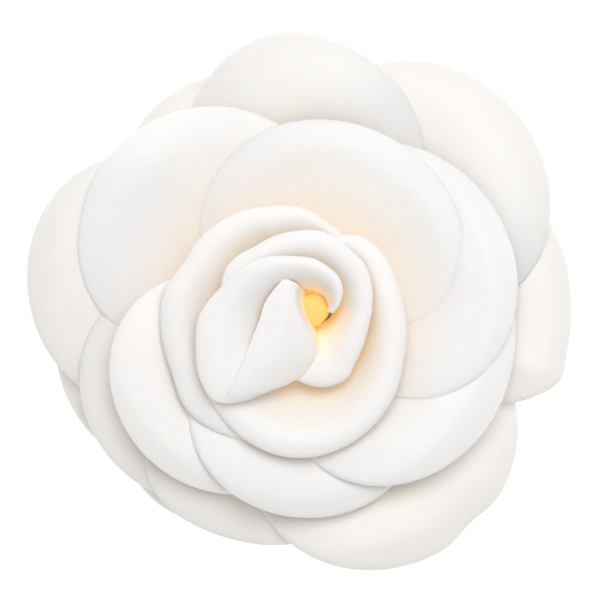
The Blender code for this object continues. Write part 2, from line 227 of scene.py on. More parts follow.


# ---- materials ----

# white cloth at an open rim, through a painted cream shade, to a painted deep orange shade and
# painted glow down in the flower, standing in for warm light bounced about in its depths; the
# cream's end is the amount of painted shade at which the cream is reached, and backGlow is what
# is left of it on a petal's underside
satin = {"white": (0.92, 0.91, 0.905, 1), "paintedCreamShade": (0.93, 0.875, 0.77, 1),
         "paintedDeepShade": (0.88, 0.50, 0.15, 1), "paintedGlow": (0.34, 0.17, 0.03, 1), "glowPower": 1.5,
         "paintedCreamEnd": 0.6, "backGlow": 0.12, "ribPitch": 0.50 * mm, "weftPitch": 0.30 * mm,
         "ribDepth": 0.012 * mm, "wander": 0.12 * mm, "patchScale": 55.0, "roughness": 0.5,
         "slubRoughness": 0.12, "rimShade": 0.9}


def makeSatin():
    made, tree, shader = newMaterial(
        "whiteSatin", satin["roughness"], Sheen_Weight=0.15, Sheen_Roughness=0.35,
        Subsurface_Weight=0.3, Subsurface_Scale=0.0018)
    shader.inputs["Subsurface Radius"].default_value = (1.0, 0.8, 0.5)
    cloth = addNode(tree, "ShaderNodeUVMap", uv_map=clothMap).outputs["UV"]
    weave = placeGroup(tree, threads, {"Cloth": cloth, "Rib Pitch": satin["ribPitch"],
                                       "Weft Pitch": satin["weftPitch"],
                                       "Wander": satin["wander"]})
    # how much painted warm shade and glow a point gets, cut down on faces turned downwards
    depth = addNode(tree, "ShaderNodeAttribute", attribute_name=paintedWarmShade).outputs["Fac"]
    facing = addNode(tree, "ShaderNodeSeparateXYZ",
                     {"Vector": addNode(tree, "ShaderNodeTexCoord").outputs["Normal"]}).outputs["Z"]
    depth = calc(tree, "MULTIPLY", depth,
                 mapRange(tree, facing, -0.1, 0.25, satin["backGlow"], 1.0))
    paintedCreamShade = mixColour(tree, mapRange(tree, depth, 0.0, satin["paintedCreamEnd"], 0.0, 1.0),
                      satin["white"], satin["paintedCreamShade"])
    paintedDeepShade = mixColour(tree, mapRange(tree, depth, satin["paintedCreamEnd"], 1.0, 0.0, 1.0),
                     paintedCreamShade, satin["paintedDeepShade"])
    patch = noise(tree, objectPlace(tree), satin["patchScale"], 2.0)
    # painted shade on the rims of the outermost petals
    rim = addNode(tree, "ShaderNodeAttribute", attribute_name=paintedRimShade).outputs["Fac"]
    # colour made darker in random patches and at slubs, and, as painted shade, in the grooves between the
    # ribs and on the outermost petals' rims
    toneAndPaintedShade = calc(tree, "MULTIPLY", mapRange(tree, patch, 0.35, 0.65, 0.985, 1.0),
                 mapRange(tree, weave.outputs["Height"], 0.0, 1.0, 0.98, 1.0))
    toneAndPaintedShade = calc(tree, "MULTIPLY", toneAndPaintedShade,
                 mapRange(tree, weave.outputs["Slub"], 0.3, 0.7, 0.985, 1.0))
    toneAndPaintedShade = calc(tree, "MULTIPLY", toneAndPaintedShade, mapRange(tree, rim, 0.0, 1.0, 1.0, satin["rimShade"]))
    grey = addNode(tree, "ShaderNodeCombineColor", {"Red": toneAndPaintedShade, "Green": toneAndPaintedShade, "Blue": toneAndPaintedShade})
    colour = mixColour(tree, 1.0, paintedDeepShade, grey.outputs["Color"], "MULTIPLY")
    tree.links.new(colour, shader.inputs["Base Color"])
    # painted glow: an emission that grows deep in the flower, standing in for light bounced about and
    # shining through the cloth there
    paintedGlow = mixColour(tree, calc(tree, "POWER", depth, satin["glowPower"]), (0, 0, 0, 1), satin["paintedGlow"])
    tree.links.new(paintedGlow, shader.inputs["Emission Color"])
    shader.inputs["Emission Strength"].default_value = 1.0
    rough = calc(tree, "ADD", satin["roughness"] - satin["slubRoughness"] / 2,
                 calc(tree, "MULTIPLY", weave.outputs["Slub"], satin["slubRoughness"]))
    tree.links.new(rough, shader.inputs["Roughness"])
    addBump(tree, shader, weave.outputs["Height"], 0.6, satin["ribDepth"])
    return made


felt = {"light": (0.86, 0.85, 0.81, 1), "dark": (0.74, 0.72, 0.67, 1), "pile": 0.35 * mm}


def makeFelt():
    made, tree, shader = newMaterial("whiteFelt", 0.95, Sheen_Weight=0.4, Sheen_Roughness=0.6)
    mat = placeGroup(tree, fuzz, {"Place": objectPlace(tree)})
    colour = mixColour(tree, mapRange(tree, mat.outputs["Mottle"], 0.3, 0.7, 0.0, 1.0),
                       felt["dark"], felt["light"])
    tree.links.new(colour, shader.inputs["Base Color"])
    tree.links.new(mapRange(tree, mat.outputs["Mottle"], 0.2, 0.8, 0.88, 1.0),
                   shader.inputs["Roughness"])
    addBump(tree, shader, mat.outputs["Height"], 0.9, felt["pile"])
    return made


buckram = {"thread": (0.86, 0.83, 0.75, 1), "paintedGapShade": (0.62, 0.58, 0.49, 1), "pitch": 0.9 * mm,
           "wander": 0.2 * mm, "threadHeight": 0.15 * mm}


def makeBuckram():
    made, tree, shader = newMaterial("buckram", 0.85)
    weave = placeGroup(tree, threads, {"Cloth": objectPlace(tree), "Rib Pitch": buckram["pitch"],
                                       "Weft Pitch": buckram["pitch"], "Weft Share": 0.5,
                                       "Wander": buckram["wander"]})
    # painted shade: the colour is darker between the threads, where they dip
    colour = mixColour(tree, mapRange(tree, weave.outputs["Height"], 0.15, 0.6, 0.0, 1.0),
                       buckram["paintedGapShade"], buckram["thread"])
    tree.links.new(colour, shader.inputs["Base Color"])
    tree.links.new(mapRange(tree, weave.outputs["Slub"], 0.2, 0.8, 0.75, 0.95),
                   shader.inputs["Roughness"])
    addBump(tree, shader, weave.outputs["Height"], 0.8, buckram["threadHeight"])
    return made


glue = {"clear": (0.86, 0.81, 0.68, 1), "amber": (0.74, 0.62, 0.40, 1)}


def makeGlue():
    made, tree, shader = newMaterial("hotGlue", 0.22, Coat_Weight=0.3, Subsurface_Weight=0.4,
                                     Subsurface_Scale=0.002)
    place = objectPlace(tree)
    swirl = noise(tree, place, 180.0, 3.0)
    colour = mixColour(tree, mapRange(tree, swirl, 0.35, 0.7, 0.0, 1.0), glue["clear"], glue["amber"])
    tree.links.new(colour, shader.inputs["Base Color"])
    tree.links.new(mapRange(tree, swirl, 0.3, 0.7, 0.16, 0.34), shader.inputs["Roughness"])
    addBump(tree, shader, noise(tree, place, 600.0, 2.0), 0.3, 0.1 * mm)
    return made


steel = {"nickel": (0.78, 0.775, 0.76, 1), "worn": (0.60, 0.57, 0.52, 1), "polish": 0.08,
         "scratchDepth": 0.02 * mm}


def makeSteel(name, roughness, scratches):
    made, tree, shader = newMaterial(name, roughness, 1.0)
    place = objectPlace(tree)
    wear = placeGroup(tree, metalWear, {"Place": place, "Scratches": scratches})
    colour = mixColour(tree, wear.outputs["Tone"], steel["worn"], steel["nickel"])
    tree.links.new(colour, shader.inputs["Base Color"])
    tree.links.new(calc(tree, "ADD", wear.outputs["Roughness Shift"], roughness - steel["polish"]),
                   shader.inputs["Roughness"])
    addBump(tree, shader, wear.outputs["Height"], 0.15, steel["scratchDepth"])
    return made


whiteSatin = makeSatin()
whiteFelt = makeFelt()
buckramCloth = makeBuckram()
hotGlue = makeGlue()
clipSteel = makeSteel("clipSteel", 0.24, 0.6)
springSteel = makeSteel("springSteel", 0.3, 0.9)
print("materials made")


# ---- piece helpers ----

def addPiece(name, bm, material, replaced, body="flower"):
    mesh = bpy.data.meshes.new(name)
    bm.to_mesh(mesh)
    bm.free()
    mesh.materials.append(material)
    mesh.shade_smooth()
    piece = bpy.data.objects.new(name, mesh)
    bpy.context.scene.collection.objects.link(piece)
    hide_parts(replaced)
    if body:
        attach(piece, body)
    return piece


def subdivide(piece, levels):
    smoother = piece.modifiers.new("rounding", "SUBSURF")
    smoother.levels = smoother.render_levels = levels


def smoothStep(value):
    value = max(0.0, min(1.0, value))
    return value * value * (3 - 2 * value)


def closeEnds(bm, seam):
    # weld a rolled-up grid along its seam and cap both ends
    bmesh.ops.remove_doubles(bm, verts=bm.verts, dist=seam)
    edges = [e for e in bm.edges if e.is_boundary]
    return bmesh.ops.holes_fill(bm, edges=edges, sides=0)["faces"]


def curvePoint(points, place):
    # point of a smooth curve through the given ones, place counted in points
    last = len(points) - 1
    index = min(int(place), last - 1)
    t = place - index
    p0, p1, p2, p3 = (points[max(0, min(last, index + k))] for k in (-1, 0, 1, 2))
    return [0.5 * (2 * b + (c - a) * t + (2 * a - 5 * b + 4 * c - d) * t * t
                   + (3 * b - a - 3 * c + d) * t ** 3) for a, b, c, d in zip(p0, p1, p2, p3)]


# ---- cloth for petals ----

# curl is how far a rim's edge rolls under; formed cloth is cut smaller by formShare
petalCloth = {"thickness": 0.6, "columns": 44, "rows": 26, "curl": 0.9, "formShare": 0.97}


def clothGrid(surface, columns, rows, ribTurn, paintedRimShadeAmount=0.0):
    # A grid laid on surface(across, along), rows closing up towards the rim. The cloth map
    # holds each point's distance from the petal's middle line and root, turned to the ribs.
    bm = bmesh.new()
    bmesh.ops.create_grid(bm, x_segments=columns, y_segments=rows, size=1.0)
    xs = sorted({round(v.co.x, 4) for v in bm.verts})
    ys = sorted({round(v.co.y, 4) for v in bm.verts})
    grid = [[None] * len(xs) for y in ys]
    # point attributes for the painted warm shade and glow and for the painted rim shade
    paintedShadeLayer = bm.verts.layers.float.new(paintedWarmShade)
    rim = bm.verts.layers.float.new(paintedRimShade)
    for vert in bm.verts:
        i = xs.index(round(vert.co.x, 4))
        j = ys.index(round(vert.co.y, 4))
        grid[j][i] = vert
        across = 2 * i / (len(xs) - 1) - 1
        along = math.sin(j / (len(ys) - 1) * math.pi / 2)
        point, depth = surface(across, along)
        vert.co = Vector(point) * mm
        vert[paintedShadeLayer] = depth
        # painted rim shade, growing towards the rim
        vert[rim] = paintedRimShadeAmount * along ** 3
    middle = len(xs) // 2
    flat = {}
    for j, row in enumerate(grid):
        for i, vert in enumerate(row):
            below = grid[j - 1][i] if j else vert
            height = flat[below][1] + (vert.co - below.co).length if j else 0.0
            flat[vert] = (0.0, height)
        for step, line in ((1, range(middle + 1, len(xs))), (-1, range(middle - 1, -1, -1))):
            for i in line:
                inner = row[i - step]
                width = flat[inner][0] + step * (row[i].co - inner.co).length
                flat[row[i]] = (width, flat[row[i]][1])
    layer = bm.loops.layers.uv.new(clothMap)
    cosine, sine = math.cos(math.radians(ribTurn)), math.sin(math.radians(ribTurn))
    for face in bm.faces:
        for loop in face.loops:
            u, v = flat[loop.vert]
            loop[layer].uv = (u * cosine - v * sine, u * sine + v * cosine)
    widths = [p[0] for p in flat.values()]
    lengths = [p[1] for p in flat.values()]
    stretch = petalCloth["formShare"]
    size = ((max(widths) - min(widths)) * stretch, (max(lengths) - min(lengths)) * stretch)
    area = sum(face.calc_area() for face in bm.faces) * stretch
    bmesh.ops.recalc_face_normals(bm, faces=bm.faces)
    return bm, size, area


def addPetal(name, surface, ribTurn, columns=None, rows=None, paintedRimShadeAmount=0.0):
    bm, size, area = clothGrid(surface, columns or petalCloth["columns"],
                               rows or petalCloth["rows"], ribTurn, paintedRimShadeAmount=paintedRimShadeAmount)
    piece = addPiece(name + "_cloth", bm, whiteSatin, name)
    thick = piece.modifiers.new("cloth thickness", "SOLIDIFY")
    thick.thickness = petalCloth["thickness"] * mm
    thick.offset = 0.0
    subdivide(piece, 1)


# ---- ring petals ----

layer = 1.1                 # one petal's cloth and the air above it
rootRadius = 7.6            # where the ring petals meet the hub
crestShare = 0.94           # a ring's bowl is full height at this share of its reach
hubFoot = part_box("petal_hub")[0].z / mm
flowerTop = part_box("bud_leaf_inner")[1].z / mm


def ring(reach, floor, crest, flare, rootTwist=0.0, rimTwist=0.0, *, margin, droop, warmFrom, warmTo):
    # flare 0 is a bowl and 1 a trumpet; margin is the rolled-back border's width and droop
    # its depth; the painted warm shade and glow grow from radius warmFrom inwards to warmTo
    return {"reach": reach, "floor": floor, "crest": crest, "flare": flare,
            "rootTwist": rootTwist, "rimTwist": rimTwist, "margin": margin, "droop": droop,
            "warmFrom": warmFrom, "warmTo": warmTo}


backFloor = hubFoot + 0.5 * layer
outerFloor = backFloor + 4.4 * layer
shoulderFloor = outerFloor + 3.5 * layer
middleFloor = shoulderFloor + 3.9 * layer
outerCrest = outerFloor + 13.0
shoulderCrest = outerCrest + 2.0
middleCrest = shoulderCrest + 4.2

backRing = ring(47.0, backFloor, outerCrest - 9.2, 0.5,
                margin=10, droop=2.5, warmFrom=38, warmTo=10)
outerRing = ring(50.0, outerFloor, outerCrest, 0.6, 2.6, 4.4,
                 margin=14, droop=3.8, warmFrom=44, warmTo=5)
shoulderRing = ring(45.0, shoulderFloor, shoulderCrest, 0.6, 0.5, 1.5,
                    margin=13, droop=2.8, warmFrom=38, warmTo=0)
middleRing = ring(38.0, middleFloor, middleCrest, 0.65, 2.4, 4.4,
                  margin=11, droop=3.2, warmFrom=34, warmTo=-2)

# ring, layer in it, tip (bearing, share of the reach), then on the clockwise and the
# anticlockwise side one more point of the rim with that side's roundness, and the ribs' turn
ringPetals = {
    "back_petal_upper_left": (backRing, 0, (118, 1.00), (100, 0.93, 2), (138, 0.92, 2.5), 0),
    "back_petal_left": (backRing, 0, (200, 1.01), (180, 0.90, 3), (216, 0.97, 2), 20),
    "back_petal_lower_left": (backRing, 1, (236, 0.98), (225, 0.95, 2), (250, 0.93, 2), 0),
    "outer_petal_left": (outerRing, 0, (168, 1.03), (142, 0.89, 2), (201, 0.87, 2), 80),
    "outer_petal_lower_left": (outerRing, 0, (218, 0.91), (185, 0.77, 2), (242, 0.84, 2), 10),
    "outer_petal_bottom": (outerRing, 0, (250, 0.91), (224, 0.80, 3), (272, 0.88, 3), 5),
    "outer_petal_lower_right": (outerRing, 0, (302, 1.06), (260, 0.78, 2), (336, 0.88, 2), 60),
    "outer_petal_right": (outerRing, 0, (358, 1.01), (332, 0.77, 3), (384, 0.95, 3), 0),
    "outer_petal_upper_right": (outerRing, 0, (404, 1.08), (364, 0.80, 2), (434, 0.93, 2), 45),
    "outer_petal_top": (outerRing, 0, (453, 1.02), (420, 0.84, 1.6), (481, 0.80, 1.8), 5),
    "shoulder_petal": (shoulderRing, 0, (145, 1.00), (99, 0.77, 1.8), (188, 0.75, 2), 40),
    "middle_petal_lower_left": (middleRing, 0, (225, 1.04), (169, 0.63, 2), (249, 0.98, 2), 45),
    "middle_petal_bottom": (middleRing, 0, (278, 1.03), (224, 0.74, 2), (297, 0.98, 2), 0),
    "middle_petal_lower_right": (middleRing, 0, (332, 1.08), (277, 0.78, 2), (358, 1.04, 2), 60),
    "middle_petal_right": (middleRing, 0, (374, 1.06), (320, 0.71, 2), (425, 0.87, 2), 10),
    "middle_petal_top": (middleRing, 0, (425, 0.92), (363, 0.79, 2.6), (497, 0.68, 2), 20),
}
# what single petals have of their own: notch is (bearing, depth, width in degrees), and a
# negative depth is a bump; groove is a soft fold along the rim (how far inside it, depth,
# half width); tilt scales the ring's twist
petalWays = {
    "outer_petal_lower_right": {"notch": (308, 1.6, 3.5)},
    "outer_petal_right": {"notch": (343.7, -1.4, 4)},
    "middle_petal_top": {"tilt": 0.7, "margin": 12.0, "droop": 4.2, "groove": (9.0, 0.55, 3.4)},
    "middle_petal_right": {"groove": (7.0, 0.35, 2.4)},
    "shoulder_petal": {"groove": (11.0, 0.4, 3.5)},
}
sideShare = 0.45            # a petal's straight sides start at this share of its tip

# how a ring petal is formed: shares of the way out at which its droop and curl are in full,
# what is left out of them at its sides, and the soft waves that a ring has in common
forming = {"droopFrom": 0.35, "droopSides": 0.88, "curlFrom": 0.3, "curlSides": 0.8,
           "twistBend": 0.6, "sway": 0.3, "swayCount": 5, "swayRadius": 10, "swayShift": 1.7}


def halfAngle(tip, point):
    share = (point[1] / tip[1]) ** point[2]
    return abs(point[0] - tip[0]) / (1 - share) ** (1 / point[2])


def petalSurface(home, level, tip, clockwise, anticlockwise, ways):
    notch = ways.get("notch", (0, 0, 1))
    margin = ways.get("margin", home["margin"])
    droop = ways.get("droop", home["droop"])
    groove = ways.get("groove", (0, 0, 1))

    def rimAt(turn):
        point = anticlockwise if turn > 0 else clockwise
        near = min(1.0, abs(turn) / halfAngle(tip, point))
        reach = tip[1] * (1 - near ** point[2]) ** (1 / point[2])
        bite = notch[1] * math.exp(-((tip[0] + turn - notch[0]) / notch[2]) ** 2)
        return home["reach"] * reach - bite

    def surface(across, along):
        point = anticlockwise if across > 0 else clockwise
        half = halfAngle(tip, point)
        least = min(sideShare, 0.95 * point[1] / tip[1])
        sideTurn = half * (1 - least ** point[2]) ** (1 / point[2])
        turn = math.sin(across * math.pi / 2) * sideTurn
        rim = rimAt(turn)
        slant = (rimAt(turn + 0.5) - rimAt(turn - 0.5)) / math.radians(1.0) / rim
        radius = rootRadius + along * (rim - rootRadius)
        share = min(1.0, (radius - rootRadius) / (crestShare * home["reach"] - rootRadius))
        bowl = home["flare"] * (1 - (1 - share) ** 2) + (1 - home["flare"]) * share ** 2
        rise = home["crest"] - home["floor"] + level
        twist = home["rootTwist"] + (home["rimTwist"] - home["rootTwist"]) * share
        twist *= ways.get("tilt", 1.0)
        inward = (rim - radius) / math.hypot(1, slant)
        fade = smoothStep(share / forming["droopFrom"]) * (1 - forming["droopSides"] * abs(across) ** 2)
        roll = droop * fade * max(0.0, 1 - inward / margin) ** 2
        roll += groove[1] * fade * math.exp(-((inward - groove[0]) / groove[2]) ** 2)
        edge = max(0.0, 1 - inward / petalCloth["curl"])
        curl = petalCloth["curl"] * smoothStep(share / forming["curlFrom"])
        curl *= 1 - forming["curlSides"] * abs(across) ** 3
        roll += curl * (1 - math.sqrt(max(0.0, 1 - edge ** 2)))
        bearing = math.radians(tip[0] + turn)
        sway = forming["sway"] * share * math.sin(
            forming["swayCount"] * bearing + forming["swayShift"] * radius / forming["swayRadius"])
        bend = forming["twistBend"]
        height = (home["floor"] + level * layer + bowl * rise + sway
                  - twist * math.atan(bend * math.radians(turn)) / bend - roll)
        # painted warm shade and glow, more the nearer a point is to the middle
        depth = smoothStep((home["warmFrom"] - radius) / (home["warmFrom"] - home["warmTo"]))
        return (radius * math.cos(bearing), radius * math.sin(bearing), height), depth

    return surface


for name, (home, level, tip, clockwise, anticlockwise, ribTurn) in ringPetals.items():
    surface = petalSurface(home, level, tip, clockwise, anticlockwise, petalWays.get(name, {}))
    addPetal(name, surface, ribTurn,
             # the back and outer rings' petals get the painted rim shade
             paintedRimShadeAmount=float(home in (outerRing, backRing)))
print("ring petals laid")


# ---- inner petals and bud ----

budAxis = (2.5, -1.0)       # middle of the hole that the bud winds round

# foot is how far the roots are below the flower's top; stations round the axis: bearing,
# radius of the root, reach of the rim, how far the rim stays below the flower's top, and how
# steeply the wall rises from the root
wraps = {
    "inner_petal_left": {
        "foot": 21.0, "margin": 6.0, "droop": 2.2, "warmShare": 0.95, "warmest": 0.85,
        "ribTurn": 90,
        "stations": [(56, 6.9, 13.0, 8.2, 2.1), (80, 6.9, 15.7, 7.2, 1.8), (97, 6.9, 18.6, 6.2, 1.7),
                     (114, 6.9, 20.5, 6.0, 1.7), (130, 6.9, 22.6, 6.0, 1.5), (147, 6.9, 24.3, 6.2, 1.5),
                     (160, 6.9, 25.0, 6.4, 1.5), (173, 6.9, 27.3, 6.6, 1.5), (188, 6.9, 27.9, 6.8, 1.5),
                     (204, 6.9, 28.1, 7.0, 1.5), (217, 6.9, 29.2, 7.4, 1.5), (229, 6.9, 28.4, 7.8, 1.5),
                     (241, 6.9, 26.7, 8.6, 1.5), (254, 6.9, 23.5, 9.6, 1.5)]},
    "inner_petal_right": {
        "foot": 19.8, "margin": 6.0, "droop": 2.2, "warmShare": 0.95, "warmest": 0.85,
        "ribTurn": 90,
        "stations": [(-160, 6.0, 20.5, 6.4, 1.7), (-149, 6.0, 23.6, 6.0, 1.5), (-137, 6.0, 24.8, 5.8, 1.4),
                     (-121, 6.0, 26.2, 5.6, 1.4), (-104, 6.0, 26.9, 5.4, 1.4), (-88, 6.0, 26.2, 5.4, 1.4),
                     (-70, 6.0, 24.3, 5.3, 1.4), (-48, 6.0, 21.3, 5.2, 1.7), (-30, 6.0, 18.6, 5.2, 2.0),
                     (-14, 6.0, 17.2, 5.2, 2.2), (4, 6.0, 16.1, 5.2, 2.4), (24, 6.0, 15.8, 5.3, 2.4),
                     (43, 6.0, 16.0, 5.5, 2.2), (60, 6.0, 15.5, 5.7, 2.2), (74, 6.0, 13.6, 6.0, 2.2)]},
    "bud_petal_outer": {
        "foot": 14.0, "margin": 4.5, "droop": 0.9, "warmShare": 0.75, "warmest": 0.85, "ribTurn": 0,
        "stations": [(196, 5.0, 14.5, 5.2, 2.2), (181, 5.0, 15.6, 4.8, 2.2), (166, 5.2, 17.0, 4.4, 2.2),
                     (151, 5.5, 17.3, 4.2, 2.2), (134, 5.8, 15.6, 4.0, 2.3), (120, 5.8, 15.1, 4.0, 2.5),
                     (104, 5.4, 14.6, 4.0, 2.5), (79, 4.8, 14.0, 4.0, 2.5), (58, 4.4, 12.6, 4.1, 2.5),
                     (41, 4.2, 12.2, 4.2, 2.5), (22, 3.9, 11.2, 4.3, 2.5), (3, 3.7, 10.4, 4.5, 2.5),
                     (-22, 3.4, 10.2, 4.8, 2.6), (-51, 2.8, 11.8, 5.6, 2.8), (-64, 2.6, 13.5, 6.2, 3.0),
                     (-82, 2.6, 13.8, 6.6, 3.0), (-104, 2.6, 12.8, 7.2, 3.0), (-125, 2.6, 11.8, 7.6, 3.0)]},
    "bud_petal_middle": {
        "foot": 13.5, "margin": 4.2, "droop": 1.0, "warmShare": 0.6, "warmest": 0.85, "ribTurn": 0,
        "stations": [(236, 3.0, 18.5, 4.8, 2.6), (225, 3.0, 23.3, 3.8, 2.6), (217, 3.0, 24.1, 3.3, 2.6),
                     (207, 3.0, 23.3, 3.0, 2.6), (196, 3.0, 21.9, 2.8, 2.6), (183, 3.2, 20.5, 2.6, 2.6),
                     (166, 3.4, 17.0, 2.3, 2.4), (150, 3.6, 14.9, 1.9, 2.4), (136, 3.6, 13.2, 1.6, 2.4),
                     (113, 3.2, 10.4, 1.4, 2.4), (92, 2.9, 9.2, 1.5, 2.4), (73, 2.7, 8.1, 1.8, 2.4),
                     (56, 2.6, 7.4, 2.3, 2.4), (36, 2.5, 6.2, 3.0, 2.4), (16, 2.4, 4.6, 4.0, 2.3),
                     (-6, 2.3, 3.1, 5.4, 2.1)]},
}


wrapEnding = 0.8            # how much of the rim's roll a wrapped petal loses at its ends
slopeStep = 0.01            # half the span over which a rim's slant is measured


def wrapSurface(wrap):
    stations, margin, droop = wrap["stations"], wrap["margin"], wrap["droop"]
    foot = flowerTop - wrap["foot"]

    def station(across):
        return curvePoint(stations, (across + 1) / 2 * (len(stations) - 1))

    def surface(across, along):
        bearing, root, rim, below, steep = station(across)
        near = station(max(-1, across - slopeStep))
        far = station(min(1, across + slopeStep))
        slant = (far[2] - near[2]) / (math.radians(far[0] - near[0]) * rim)
        radius = root + along * (rim - root)
        inward = (rim - radius) / math.hypot(1, slant)
        ending = 1 - wrapEnding * across ** 4
        roll = droop * ending * max(0.0, 1 - inward / margin) ** 2
        edge = max(0.0, 1 - inward / petalCloth["curl"])
        roll += petalCloth["curl"] * ending * (1 - math.sqrt(max(0.0, 1 - edge ** 2)))
        crest = flowerTop - below
        height = foot + (crest - foot) * (1 - (1 - along) ** steep) - roll
        turn = math.radians(bearing)
        # painted warm shade and glow, full at the root and gone at warmShare of the way to the rim
        depth = wrap["warmest"] * smoothStep(1 - along / wrap["warmShare"])
        x = budAxis[0] + radius * math.cos(turn)
        y = budAxis[1] + radius * math.sin(turn)
        return (x, y, height), depth

    return surface


# the leaf that closes the bud: rows from under the bud's petals down to the tip, each from
# the hole across to the left, as x, y and depth below the flower's top
leafRows = [
    [(0.6, 2.6, 9.0), (-0.4, 3.8, 5.2), (-1.0, 4.2, 4.4),
     (-1.6, 4.5, 4.1), (-2.2, 4.7, 3.9), (-3.0, 4.8, 3.9)],
    [(1.0, 0.8, 11.0), (-0.8, 1.0, 4.8), (-1.9, 1.1, 3.7),
     (-3.0, 1.2, 3.5), (-4.4, 1.3, 3.7), (-6.1, 0.9, 4.0)],
    [(1.6, -1.6, 12.0), (0.1, -1.9, 5.0), (-1.5, -1.9, 3.8),
     (-3.2, -1.9, 3.4), (-5.2, -2.1, 3.6), (-7.3, -2.6, 3.9)],
    [(2.4, -3.8, 12.0), (1.5, -4.8, 5.6), (-0.8, -5.5, 4.4),
     (-3.6, -6.0, 3.5), (-6.6, -6.3, 3.5), (-8.9, -6.6, 3.8)],
    [(3.4, -6.2, 10.5), (2.9, -8.2, 6.8), (0.4, -9.4, 5.4),
     (-4.0, -10.5, 3.9), (-8.2, -11.0, 3.4), (-10.6, -10.8, 3.7)],
    [(3.4, -7.6, 8.8), (1.7, -11.0, 7.2), (-1.6, -13.2, 6.2),
     (-5.6, -14.6, 4.9), (-9.8, -15.4, 3.7), (-12.4, -14.8, 3.6)],
    [(3.2, -8.4, 8.4), (1.5, -11.6, 7.7), (-1.9, -13.9, 6.9),
     (-6.0, -15.5, 5.9), (-11.2, -17.2, 4.7), (-13.6, -16.4, 4.1)],
]


leafWarm = (4.5, 10.5)      # depths below the flower's top where the painted warm shade and glow start and are full


def leafSurface(across, along):
    place = (1 - across) / 2 * (len(leafRows[0]) - 1)
    line = [curvePoint(row, place) for row in leafRows]
    x, y, below = curvePoint(line, along * (len(line) - 1))
    # painted warm shade and glow, more the deeper a point lies
    depth = smoothStep((below - leafWarm[0]) / (leafWarm[1] - leafWarm[0]))
    return (x, y, flowerTop - below), depth


for name, wrap in wraps.items():
    addPetal(name, wrapSurface(wrap), wrap["ribTurn"], 72, 26)

# the bud's core: a strip of satin twisted to a peg that fills the hole from below; its wall
# takes wallShare of the strip, and the rest closes over in a low dome; lean moves its top
# along X from the bud's axis, and its painted warm shade and glow grow from the foot to 1 at the top
core = {"radius": 6.2, "tipRadius": 2.9, "below": 9.0, "pleats": 5, "pleatDepth": 0.16,
        "turns": 1.4, "clear": 0.2, "wallShare": 0.8, "domeTurn": 1.45, "dome": 0.7,
        "lean": -0.3, "paintedWarmShade": 0.5}


def makeCore():
    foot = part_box("bud_core")[0].z / mm + core["clear"]
    top = flowerTop - core["below"]
    low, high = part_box("bud_core")
    middle = ((low.x + high.x) / 2 / mm, (low.y + high.y) / 2 / mm)

    def surface(across, along):
        share = min(1.0, along / core["wallShare"])
        closing = max(0.0, (along - core["wallShare"]) / (1 - core["wallShare"]))
        radius = core["tipRadius"] + (core["radius"] - core["tipRadius"]) * (1 - share) ** 2
        turn = across * math.pi
        pleat = core["pleatDepth"] * math.sin(
            core["pleats"] * turn + 2 * math.pi * core["turns"] * share)
        radius = (radius + pleat) * math.cos(closing * core["domeTurn"])
        lean = smoothStep(share)
        x = middle[0] + (budAxis[0] + core["lean"] - middle[0]) * lean
        y = middle[1] + (budAxis[1] - middle[1]) * lean
        height = foot + (top - foot) * share + core["dome"] * math.sin(closing * math.pi / 2)
        # painted warm shade and glow, full at the top that is seen down the hole
        depth = core["paintedWarmShade"] + (1 - core["paintedWarmShade"]) * share
        return (x + radius * math.cos(turn), y + radius * math.sin(turn), height), depth

    bm = clothGrid(surface, 48, 30, 30)[0]
    closeEnds(bm, 0.01 * mm)
    bmesh.ops.recalc_face_normals(bm, faces=bm.faces)
    piece = addPiece("bud_core_twist", bm, whiteSatin, "bud_core")
    subdivide(piece, 1)


makeCore()
addPetal("bud_leaf_inner", leafSurface, 0, 36, 36)
print("bud rolled")


# ---- backing: hub, glue, base and felt ----

def boxMiddle(node):
    low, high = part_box(node)
    return (low + high) / 2


# the winding's wall takes 1 / wallRun of the tape, and the rest is drawn in to the neck
hub = {"taper": 0.5, "bands": 6, "bandDepth": 0.22, "neckRadius": 4.6, "wallRun": 1.15}


def makeHub():
    # buckram tape wound on a neck, a band for each turn, with its top drawn in
    low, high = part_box("petal_hub")
    foot, top = low.z / mm, high.z / mm
    outside = high.x / mm

    def surface(across, along):
        turn = across * math.pi
        rise = min(1.0, along * hub["wallRun"])
        spiral = (rise * hub["bands"] + turn / (2 * math.pi)) % 1.0
        radius = outside - hub["taper"] * rise
        radius -= hub["bandDepth"] * (1 - math.sin(spiral * math.pi)) ** 2
        closing = max(0.0, (along - 1 / hub["wallRun"]) / (1 - 1 / hub["wallRun"]))
        radius += (hub["neckRadius"] - radius) * smoothStep(closing)
        height = foot + rise * (top - foot)
        return (radius * math.cos(turn), radius * math.sin(turn), height), 0.0

    bm = clothGrid(surface, 72, 44, 0)[0]
    closeEnds(bm, 0.01 * mm)
    bmesh.ops.recalc_face_normals(bm, faces=bm.faces)
    piece = addPiece("petal_hub_winding", bm, buckramCloth, "petal_hub")
    subdivide(piece, 1)


disc = {"segments": 96, "rings": 6, "warp": 0.05, "cornerShare": 0.22}


